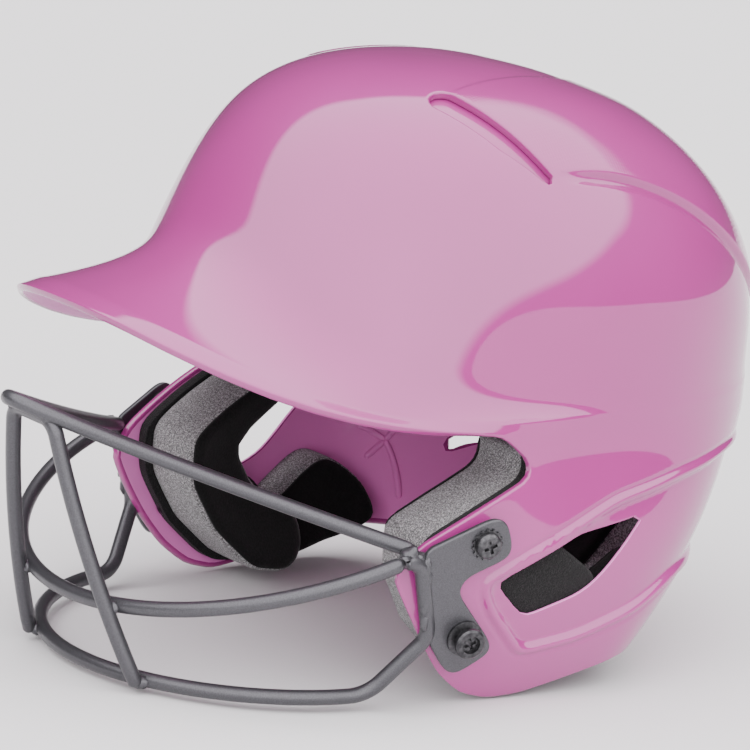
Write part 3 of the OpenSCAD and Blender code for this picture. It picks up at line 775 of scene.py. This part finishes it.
# Bend radii from the middle bar's end down to the lower bar, and at the post's upper end
SIDE_BENDS, POST_BEND = [0, 7, 9, 14], 7
MASK_CORNER = np.array([97.5, -84.5, 58.4])
SIDE_BEND = np.array([94.5, -76, 29])
LOW_BEND = np.array([82.2, -91.6, 6])


def unit(v):
    return v / np.linalg.norm(v)


def bent_path(points, radii, count=10):
    """A path through points, each corner rounded with its own bend radius."""
    points = [np.array(p, float) for p in points]
    out = [points[0]]
    for i in range(1, len(points) - 1):
        if not radii[i]:
            out.append(points[i])
            continue
        u, w = unit(points[i] - points[i - 1]), unit(points[i + 1] - points[i])
        turn = math.acos(max(-1, min(1, float(u @ w))))
        side = unit(w - u * (u @ w))
        start = points[i] - u * radii[i] * math.tan(turn / 2)
        for k in range(count + 1):
            b = turn * k / count
            out.append(start + u * radii[i] * math.sin(b) + side * radii[i] * (1 - math.cos(b)))
    out.append(points[-1])
    return out


def mirrored(points):
    return list(points) + [np.array(p) * [-1, 1, 1] for p in reversed(points)]


def tube(name, path, radius, sides=20):
    """Round wire along a path: a circle carried from point to point, with softly rounded ends."""
    path = [np.array(p, float) for p in path]
    head, tail = [[(a - unit(a - b) * radius * back, share) for back, share in WIRE_END]
                  for a, b in ((path[0], path[1]), (path[-1], path[-2]))]
    stations = head + [(p, 1) for p in path[1:-1]] + tail[::-1]
    bm = bmesh.new()
    ring = bmesh.ops.create_circle(bm, segments=sides, radius=1, cap_ends=True)["verts"]
    shape = [v.co.copy() for v in ring]
    across = None
    for k, (p, scale) in enumerate(stations):
        before, after = stations[max(k - 1, 0)][0], stations[min(k + 1, len(stations) - 1)][0]
        along = Vector(unit(after - before))
        if across is None:
            across = along.orthogonal().normalized()
        across = (across - along * across.dot(along)).normalized()
        turn = Matrix((across, along.cross(across), along)).transposed()
        if k:
            edges = [e for e in {e for v in ring for e in v.link_edges} if set(e.verts) <= set(ring)]
            made = bmesh.ops.extrude_edge_only(bm, edges=edges)["geom"]
            fresh = {v for v in made if isinstance(v, bmesh.types.BMVert)}
            ring = [next(w for w in (e.other_vert(v) for e in v.link_edges) if w in fresh) for v in ring]
        for v, co in zip(ring, shape):
            v.co = (Vector(p) + turn @ (co * radius * scale)) * MM
    edges = [e for e in {e for v in ring for e in v.link_edges} if set(e.verts) <= set(ring)]
    bmesh.ops.contextual_create(bm, geom=edges)
    bmesh.ops.recalc_face_normals(bm, faces=bm.faces)
    return as_piece(name, bm)


def sweep_pt(t, half, back, reach, high, drop, p, q):
    """A point of a bar that sweeps from the front, at t = 0, round to the left at 90 degrees."""
    s, c = math.sin(math.radians(t)), math.cos(math.radians(t))
    return np.array([half * s, -back - reach * c ** p, high - drop * c ** q])


def middle_pt(t):
    return sweep_pt(t, half=97.5, back=84.5, reach=80.8, high=59.5, drop=29.9, p=1.09, q=1.17)


def lower_pt(t):
    return sweep_pt(t, half=81, back=93, reach=66.2, high=5.9, drop=1.3, p=1.19, q=1.45)


def top_pt(s, half=94, bow=4.18, nose=12.2, power=0.7635):
    """The top bar from the middle, at s = 0, to its end at 1: rounded in front, then ever straighter."""
    x = half * s ** 1.5
    back = bow * ((x * x + nose ** 2) ** (power / 2) - nose ** power)
    return np.array([x, back - 191.7, 100.2 - 0.4167 * back + 0.0004 * back * back])


def post_pt(s):
    """The left leg of the centre post, from its foot on the table at s = 0 up to the top bar."""
    return np.array([35.5 - 22.7 * s, -155.9 - 38.3 * s + 11.7 * s * s, WIRE_R + (94.6 - WIRE_R) * s])


def sampled(function, first, last, count):
    return [function(first + (last - first) * k / count) for k in range(count + 1)]


top_half = sampled(top_pt, 1, 0.02, 40)
top_path = top_half + [top_pt(0)] + [p * [-1, 1, 1] for p in reversed(top_half)]
middle_path = mirrored(sampled(middle_pt, MIDDLE_END, 1, 36))
low_front = sampled(lower_pt, LOW_END, 1, 30)
low_half = [middle_pt(MIDDLE_END), MASK_CORNER, SIDE_BEND, LOW_BEND] + low_front
low_radii = SIDE_BENDS + [0] * len(low_front)
low_path = bent_path(mirrored(low_half), low_radii + low_radii[::-1])
post_half = sampled(post_pt, 0, 1, 16)
post_radii = [0] * (len(post_half) - 1) + [POST_BEND]
post_path = bent_path(mirrored(post_half), post_radii + post_radii[::-1])
for wire, path in (("mask_top_bar", top_path), ("mask_middle_bar", middle_path),
                   ("mask_lower_bar", low_path), ("mask_centre_post", post_path)):
    dress(tube(wire + "_wire", path, WIRE_R), COAT, "mask_coat", wire)


# ---------------- bracket plates and welds
# Where the plates' middle lies, and how they are turned with the wall, in degrees
PLATE_AT, PLATE_TURN, PLATE_LEAN = (97.2, -60, 44.4), -12.35, 7.87
PLATE = (Matrix.Translation(Vector(PLATE_AT)) @ Matrix.Rotation(math.radians(PLATE_TURN), 4, "Z")
         @ Matrix.Rotation(math.radians(PLATE_LEAN), 4, "Y") @ Matrix.Rotation(math.radians(90), 4, "Z")
         @ Matrix.Rotation(math.radians(90), 4, "X"))
PLATE_GAP, PLATE_T, PLATE_ROUND = 2.2, 2.4, 0.7
PLATE_OUTLINE = rounded([(-23.3, 17.5), (1.5, 29), (7, 27.5), (10.4, 18), (8.8, 13.6), (-5.6, 7), (-8, 1.5),
                         (7.4, -18), (7.2, -22.5), (-4, -29.6), (-9, -28), (-17, -16), (-20, 2)], 4.5, 7)


def flipped(bm):
    """Turns a left piece into its right twin."""
    bmesh.ops.scale(bm, vec=(-1, 1, 1), verts=bm.verts)
    bmesh.ops.reverse_faces(bm, faces=bm.faces)


def bracket(side):
    bm = bmesh.new()
    face = bm.faces.new([bm.verts.new((x, y, PLATE_GAP)) for x, y in PLATE_OUTLINE])
    top = bmesh.ops.extrude_face_region(bm, geom=[face])["geom"]
    raised = [g for g in top if isinstance(g, bmesh.types.BMVert)]
    bmesh.ops.translate(bm, vec=(0, 0, PLATE_T), verts=raised)
    bmesh.ops.recalc_face_normals(bm, faces=bm.faces)
    flat = [f for f in bm.faces if len(f.verts) > 4]
    rims = list({e for f in flat for e in f.edges})
    bmesh.ops.bevel(bm, geom=rims, offset=PLATE_ROUND, segments=3, profile=0.5, affect="EDGES", material=-1)
    bmesh.ops.transform(bm, matrix=Matrix.Scale(MM, 4) @ PLATE, verts=bm.verts)
    if side == "right":
        flipped(bm)
    piece = as_piece("bracket_plate_" + side, bm)
    for face in piece.data.polygons:
        face.use_smooth = len(face.vertices) <= 4
    return piece


for side in ("left", "right"):
    dress(bracket(side), COAT, "mask_coat", "bracket_" + side)


def closest(path_a, path_b):
    """The two points where two paths come closest."""
    a, b = np.array(path_a), np.array(path_b)
    d = np.linalg.norm(a[:, None] - b[None], axis=2)
    i, j = np.unravel_index(d.argmin(), d.shape)
    return a[i], b[j]


def finer(path):
    """The same path with a point every mm."""
    path = np.array(path)
    run = np.concatenate([[0], np.cumsum(np.linalg.norm(np.diff(path, axis=0), axis=1))])
    at = np.linspace(0, run[-1], int(run[-1]) + 2)
    return np.stack([np.interp(at, run, path[:, k]) for k in range(3)], 1)


# How rough a weld is, how strong its ripples, and how many radians of them lie in half its length
WELD_ROUGH, WELD_RIPPLE, RIPPLES = 0.22, 0.05, 9
# Below LEGS_TOP a point of the post is one of its legs, and above POST_TOP it is next to the top bar
LEGS_TOP, POST_TOP = 80, 84


def add_weld(bm, at, along, length, width):
    """A lump of weld metal, drawn out along a seam."""
    lump = bmesh.ops.create_icosphere(bm, subdivisions=3, radius=1)["verts"]
    turn = Vector(along).to_track_quat("Z", "Y").to_matrix()
    for v in lump:
        rough = 1 + WELD_ROUGH * noise.noise(v.co * 2.1 + Vector(at) * 0.37)
        ripple = 1 + WELD_RIPPLE * math.sin(v.co.z * RIPPLES)
        v.co = turn @ Vector((v.co.x * width * rough * ripple, v.co.y * width * rough * ripple,
                              v.co.z * length * rough))
        v.co = (v.co + Vector(at)) * MM


def welds():
    bm = bmesh.new()
    post, top_bar, middle, low = (finer(p) for p in (post_path, top_path, middle_path, low_path))
    for sign in (1, -1):
        legs, bar, mid, under = (p[p[:, 0] * sign > 2] for p in (post, top_bar, middle, low))
        for other in (mid, under):
            p, q = closest(legs[legs[:, 2] < LEGS_TOP], other)
            k = int(np.abs(other - q).sum(1).argmin())
            along = other[min(k + 3, len(other) - 1)] - other[max(k - 3, 0)]
            add_weld(bm, (p + q) / 2, along, 3.6, 2.5)
        p, q = closest(legs[legs[:, 2] > POST_TOP], bar)
        add_weld(bm, (p + q) / 2, (sign * 12, 22, -8), 4.5, 2.6)
        # Where the top, the middle and the lower bar meet at the side
        elbow = (top_pt(1) + middle_pt(MIDDLE_END)) / 2 * [sign, 1, 1]
        add_weld(bm, elbow, (sign * 0.3, 0.5, 1), 4.6, 3.2)
        add_weld(bm, elbow + [0, 3, -1], (sign * 0.3, 1, 0.2), 4.2, 3.0)
    # Four lumps down each plate's front edge, in the plate's own frame
    for spot in ((-21.5, 12, 4.0), (-20.6, 7, 4.2), (-19.9, -2, 4.2), (-19.2, -8, 4.1)):
        spot = PLATE @ Vector(spot)
        for sign in (1, -1):
            add_weld(bm, (spot.x * sign, spot.y, spot.z), (0, 0.1, 1), 4.2, 1.7)
    bmesh.ops.recalc_face_normals(bm, faces=bm.faces)
    return as_piece("mask_welds", bm)


dress(welds(), COAT, "mask_coat")


# ---------------- pads
BACKING_IN = 3.3
BACKING_T, JAW_FOAM_T, FOAM_T, COVER_T = 5, 26, 15, 1.8
GAP = 0.15
JAW_FOAM_IN = BACKING_IN + BACKING_T + GAP
JAW_COVER_IN = JAW_FOAM_IN + JAW_FOAM_T + GAP
PAD_COVER_IN = BACKING_IN + FOAM_T + GAP
# Depths of a thin pad's two layers. The knit sinks a little into the foam
THIN_FOAM = (BACKING_IN, BACKING_IN + FOAM_T)
THIN_COVER = (PAD_COVER_IN - 0.5, PAD_COVER_IN + COVER_T)
JAW_R, PAD_CORNER = 12.6, 12
# How far each layer of a jaw pad goes past the cover's outline, and stays inside the shell's edge
JAW_STEPS = {"backing": 4.5, "foam": 1.5, "cover": 0}
JAW_TRIMS = {"backing": 2, "foam": 2.6, "cover": 3}
JAW_SOFT, TAB_IN = 4, 4
# A pad's face falls away over the last CROWN_REACH mm before its edge
CROWN_REACH = 3.5
# Sides of die-cut foam, nearly straight with a small round at the face
CUT_SIDES = [(0.04, 0.012), (0.3, 0.02), (0.7, 0.02), (0.95, 0.014), (1, 0)]
LAYER_SLOTS = {"backing": "backing_foam", "foam": "comfort_foam", "cover": "cover_fabric"}
JAW_LINE = np.array([(-40, 80), (-52, 71), (-61, 60), (-60, 47), (-52, 33), (-40, 21.5), (-32, 20)], float)
BACKING_TAB = rounded([(-50, 66), (-32, 58), (-12, 43.5), (-20, 30), (-50, 30)], 4)


def wall_x(y, z):
    power = wall_front_power(z)
    front = np.clip(1 - (np.abs(y) / BRIM_REACH) ** power, 0, 1) ** (1 / power)
    rear = np.clip(1 - (np.abs(y) / wall_rear(z)) ** SQUARE_REAR, 0, 1) ** (1 / SQUARE_REAR)
    return wall_w(z) * np.where(y < 0, front, rear)


def side_place(sign):
    """Places (y, z) on the inner side of a side wall at a depth under the outer surface."""
    def place(pq, depth):
        y, z = pq.T
        x = wall_x(y, z)
        slope_y = (wall_x(y + 1, z) - wall_x(y - 1, z)) / 2
        slope_z = (wall_x(y, z + 1) - wall_x(y, z - 1)) / 2
        x = x - depth * np.sqrt(1 + slope_y ** 2 + slope_z ** 2)
        return np.stack([sign * x, y, z], -1)
    return place


def nape_place(pq, depth):
    """Places (x, z) on the inner side of the rear wall."""
    def wall_y(x, z):
        return wall_rear(z) * np.clip(1 - (np.abs(x) / wall_w(z)) ** SQUARE_REAR, 0, 1) ** (1 / SQUARE_REAR)
    x, z = pq.T
    slope_x = (wall_y(x + 1, z) - wall_y(x - 1, z)) / 2
    slope_z = (wall_y(x, z + 1) - wall_y(x, z - 1)) / 2
    return np.stack([x, wall_y(x, z) - depth * np.sqrt(1 + slope_x ** 2 + slope_z ** 2), z], -1)


def crowned(bottom, edge_of, rise):
    """Depth of a face that falls away by rise toward its edge."""
    def depth(pq):
        inward = np.clip(-edge_of(pq) / CROWN_REACH, 0, 1)
        return bottom - rise * (1 - np.sqrt(1 - (1 - inward) ** 2))
    return depth


def pad_layers(stem, side, cells, span, place, edge, levels, body=GREY_FOAM):
    """Stacked layers of one pad. edge(points, label) is the distance outside a layer's outline, body is
    the material of the thick foam, and levels are (label, depths of the two faces, how much smaller the
    outline is, how far the face falls away)."""
    finishes = {"backing": DARK_FOAM_AND_PAINTED_SHADE, "foam": body, "cover": KNIT}
    for label, start, end, inset, rise in levels:
        def edge_of(pq, inset=inset, label=label):
            return edge(pq, label) + inset
        node = "_".join(filter(None, (stem, label, side)))
        piece = sheet_piece(node + "_soft", cells, span, place, edge_of, CUT_SIDES, start=start,
                            end=crowned(end, edge_of, rise))
        dress(piece, finishes[label], LAYER_SLOTS[label], node)


def jaw_edge(pq, label, side):
    line = JAW_R - from_line(pq, JAW_LINE) + JAW_STEPS[label]
    if label == "backing" and side == "left":
        line = np.maximum(line, inside(pq, BACKING_TAB) + TAB_IN)
    # The pad stops short of the shell's edge, and its layers step back from the wall
    opening = inside(pq, CUT_AWAY) + JAW_TRIMS[label]
    return (opening - line + np.hypot(opening + line, JAW_SOFT)) / 2


# Outline of a side pad's face, read off the right one
SIDE_PAD = rounded([(-31, 6), (-24, 22), (-14, 29.5), (-5, 35.5), (2, 40), (8, 41.5), (15, 37.5),
                    (21, 31.5), (22, 22), (17, 17), (8, 12.5), (-11, 8)], 5)
SIDE_SHIFT = {"left": (8, 9), "right": (0, 0)}
SIDE_FOAM_OUT = 0.8


def side_edge(pq, label, side):
    return -inside(pq - SIDE_SHIFT[side], SIDE_PAD) - SIDE_FOAM_OUT * (label == "foam")


for side, sign in (("left", 1), ("right", -1)):
    pad_layers("jaw", side, (37, 46), ((-78, -4), (4, 96)), side_place(sign),
               lambda pq, label, side=side: jaw_edge(pq, label, side),
               [("backing", BACKING_IN, BACKING_IN + BACKING_T, 0, 0.3),
                ("foam", JAW_FOAM_IN, JAW_FOAM_IN + JAW_FOAM_T, 0.6, 1.0),
                ("cover", JAW_COVER_IN - 0.6, JAW_COVER_IN + COVER_T, 0.2, 1.4)])
    # The left side pad takes the charcoal foam instead of the right one's grey: painted shade, for the
    # shade it lies in inside the near wall.
    pad_layers("side", side, (38, 29), ((-36, 40), (-2, 56)), side_place(sign),
               lambda pq, label, side=side: side_edge(pq, label, side),
               [("foam", *THIN_FOAM, 0.3, 0.8),
                ("cover", *THIN_COVER, 0.2, 1.2)],
               DARK_FOAM_AND_PAINTED_SHADE if side == "left" else GREY_FOAM)

# Middle of the nape pad as (x, z) and its half sizes. The forehead pad's middle is in degrees and a share
# of the way down, with the mm that each of these is, and the crown pad ends at a share of the way down
NAPE_AT, NAPE_HALF = (0, 48), (45, 26)
FOREHEAD_AT, FOREHEAD_MM, FOREHEAD_HALF = (0, 0.646), (1.75, 190), (70, 31)
CROWN_END, CROWN_MM = 0.2756, 160


def rounded_box(offset, half):
    q = np.abs(offset) - (np.array(half) - PAD_CORNER)
    return np.linalg.norm(np.maximum(q, 0), axis=1) + np.minimum(q.max(1), 0) - PAD_CORNER


pad_layers("nape", "", (44, 25), ((-48, 48), (20, 76)), nape_place,
           lambda pq, label: rounded_box(pq - NAPE_AT, NAPE_HALF),
           [("foam", *THIN_FOAM, 0.5, 0.8),
            ("cover", *THIN_COVER, 0.3, 1.2)])
pad_layers("forehead", "", (56, 34), ((-41, 41), (0.475, 0.815)), skin_place,
           lambda pq, label: rounded_box((pq - FOREHEAD_AT) * FOREHEAD_MM, FOREHEAD_HALF),
           [("foam", *THIN_FOAM, 0.5, 1.0),
            ("cover", *THIN_COVER, 0.3, 1.0)])
pad_layers("crown", "", (96, 30), ((0, 360), (0, 0.29)), skin_place,
           lambda pq, label: (pq[:, 1] - CROWN_END) * CROWN_MM,
           [("foam", BACKING_IN + 0.6, BACKING_IN + FOAM_T, 0.5, 1.0),
            ("cover", *THIN_COVER, 0.3, 1.0)])


# ---------------- ribs inside the rear of the shell
# Four ribs meet in a star on the inner wall, and one of them runs on down to the edge, as (x, z)
STAR = (-89.5, 45)
RIB_ENDS = {"forward": (-96.4, 50.5), "up": (-87.8, 53), "low": (-91.8, 38), "down": (-75.2, 25)}
# Their axes lie RIB_SUNK under the wall's inner face
RIB_R, RIB_SUNK = 1.3, 0.3


def inner_wall(line, depth):
    """The points at a depth under the rear wall whose own x and z are those of line, closed in on."""
    aim = line.copy()
    for _ in range(8):
        outer = nape_place(aim, np.zeros(len(aim)))
        a = np.arctan2(outer[:, 0], -outer[:, 1])
        t = 3 - outer[:, 2] / edge_z(a)
        at = surface(a, t) - depth * surface_normal(a, t)
        aim += line - at[:, [0, 2]]
    return at


for side, sign in (("left", -1), ("right", 1)):
    for label, rib_end in RIB_ENDS.items():
        share = np.linspace(0, 1, 9)[:, None]
        line = np.array(STAR) * (1 - share) + np.array(rib_end) * share
        path = inner_wall(line, WALL + RIB_SUNK) * [sign, 1, 1]
        dress(tube("inner_rib_" + label + "_" + side, path, RIB_R, 10), BARE_ABS_PAINTED_LIGHTER, "shell_abs")


# ---------------- CAD nodes that stay, with their finishes
for prefix, material in (("screw", ZINC), ("tooth_washer", ZINC), ("tee_nuts", ZINC), ("strap_stud", STUD),
                         ("rubber_washers", RUBBER)):
    for name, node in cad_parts.items():
        if name.startswith(prefix):
            node.data.materials.clear()
            node.data.materials.append(material)


# ---------------- floor and light
# Half the floor's side, in metres
FLOOR_HALF = 6
# Toward the middle of the tent: 62 degrees left of the front and 60 degrees up
TENT_AXIS = (math.sin(math.radians(62)) * 0.5, -math.cos(math.radians(62)) * 0.5, 0.866)
TENT_STRENGTH = 4.7


def floor():
    made = finish("pale_paper_floor", {"Base Color": colour("#DADADA"), "Roughness": 0.9,
                                       "Specular IOR Level": 0.1})
    bm = bmesh.new()
    bmesh.ops.create_grid(bm, x_segments=1, y_segments=1, size=FLOOR_HALF)
    piece = as_piece("floor", bm)
    piece.data.materials.append(made)


def sky():
    """A white tent over the front and left, dark below its edge, which the gloss mirrors."""
    world = bpy.data.worlds.new("studio")
    world.use_nodes = True
    tree = world.node_tree
    ray = add(tree, "ShaderNodeTexCoord").outputs["Generated"]
    toward = add(tree, "ShaderNodeVectorMath", {0: ray, 1: TENT_AXIS}, operation="DOT_PRODUCT")
    shade = add(tree, "ShaderNodeValToRGB", {"Fac": toward.outputs["Value"]},
                [(0.44, "#2C2A2C"), (0.49, "#F6F2F5")])
    tree.links.new(shade.outputs["Color"], tree.nodes["Background"].inputs["Color"])
    tree.nodes["Background"].inputs["Strength"].default_value = TENT_STRENGTH
    bpy.context.scene.world = world


floor()
sky()
